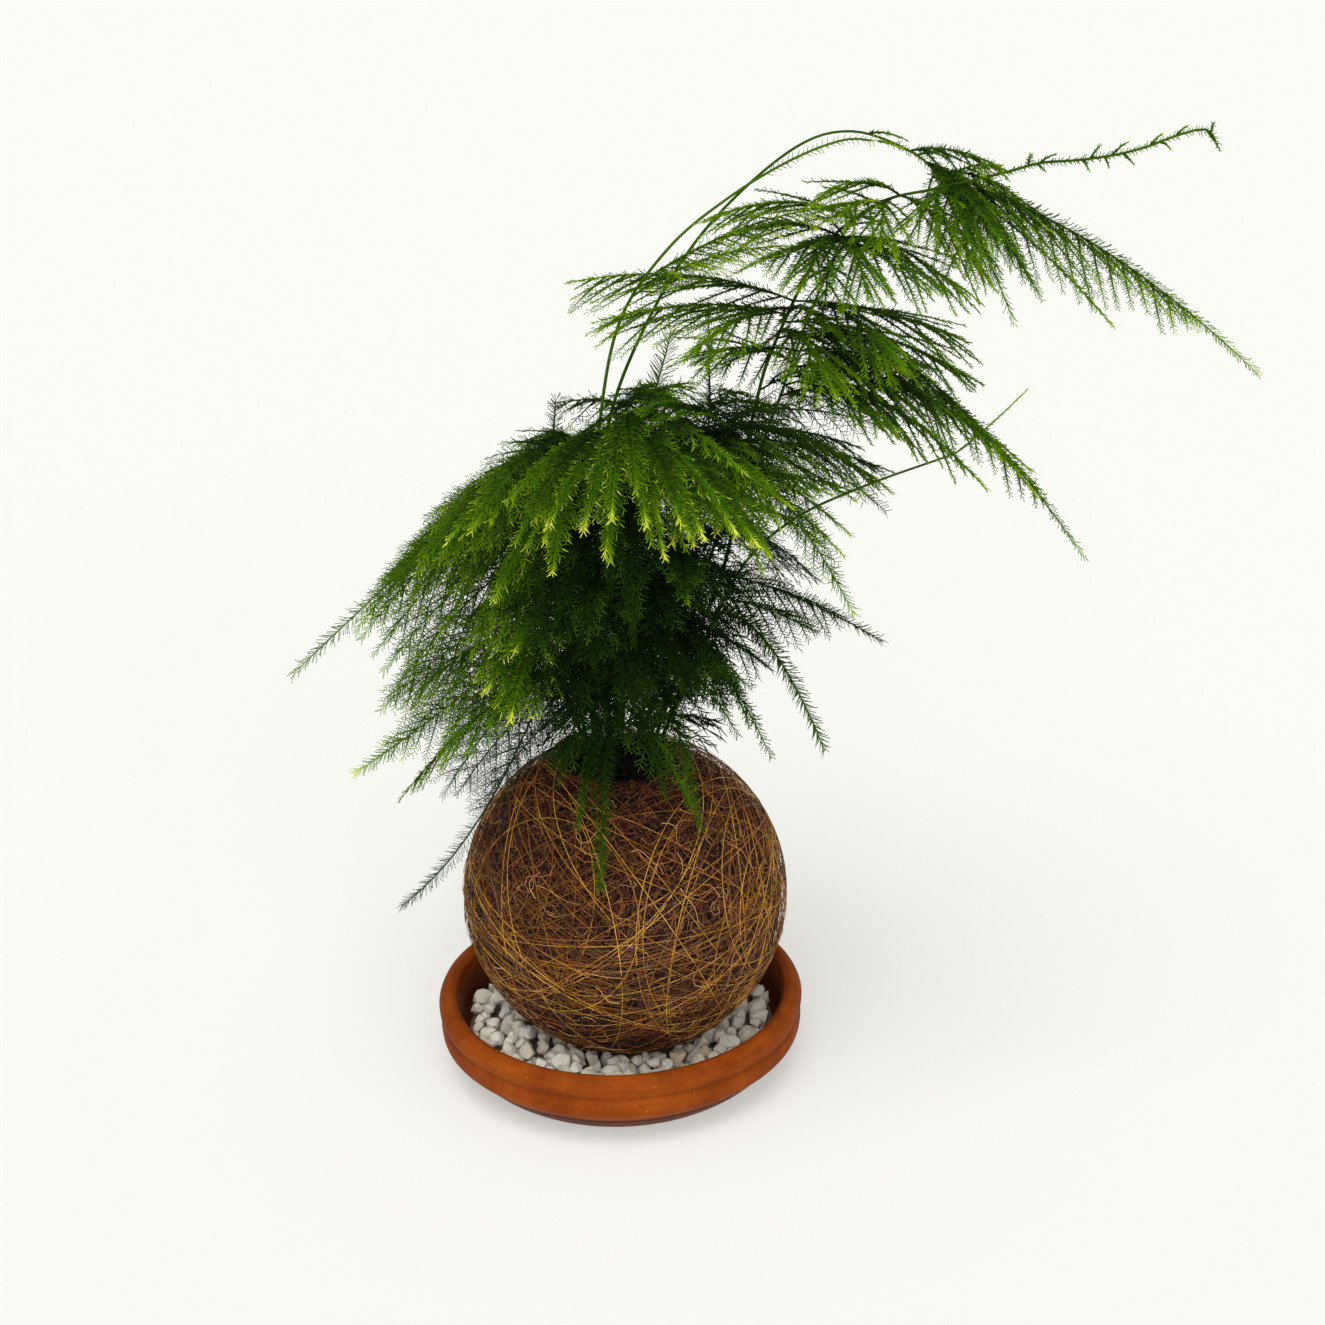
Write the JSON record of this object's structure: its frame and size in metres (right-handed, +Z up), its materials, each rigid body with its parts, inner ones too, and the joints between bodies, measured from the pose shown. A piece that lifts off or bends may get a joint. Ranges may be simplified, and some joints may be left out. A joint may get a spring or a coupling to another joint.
{
  "type": "kokedama with an asparagus fern on a saucer",
  "caption": "Asparagus fern in a thread-wound coir ball, resting on marble chips in a round terracotta saucer; free-standing ornamental house plant.",
  "frame": {"origin": "centre of the saucer's underside, on the surface that it stands on", "axes": "+Z up along the saucer's axis; the front is seen from -Y looking along +Y, and the long shoot arches towards +X"},
  "size_m": [0.4251, 0.2159, 0.436],
  "materials": {
    "terracotta": "matt fired clay, damp and darker inside",
    "marble": "broken white marble, matt to slightly glossy",
    "soil": "damp potting soil",
    "coir": "reddish-brown curled fibre mat",
    "thread": "thin golden-olive binding thread",
    "foliage_dark": "matt dark green needles",
    "foliage_fresh": "matt mid green needles",
    "foliage_young": "soft yellow-green young needles",
    "foliage_grey": "matt grey-green needles"
  },
  "bodies": {
    "root": {"saucer": "terracotta", "marble_chips": "marble", "soil_ball": "soil", "coir_wrap": "coir", "binding_thread": "thread", "stem_arch": "foliage_dark", "stem_companion": "foliage_young", "stem_long_shoot": "foliage_dark", "stem_tiers": "foliage_fresh", "stem_bare_shoot": "foliage_young", "stem_left": "foliage_fresh", "stem_low_left": "foliage_fresh", "stem_grey_left": "foliage_grey", "stem_dome_front": "foliage_fresh", "stem_dome_left": "foliage_fresh", "stem_dome_right": "foliage_fresh", "stem_right": "foliage_dark", "stem_front": "foliage_fresh", "stem_front_right": "foliage_dark", "stem_inner": "foliage_dark", "stem_back": "foliage_dark", "stem_back_left": "foliage_dark", "stem_back_right": "foliage_grey"}
  },
  "joints": []
}
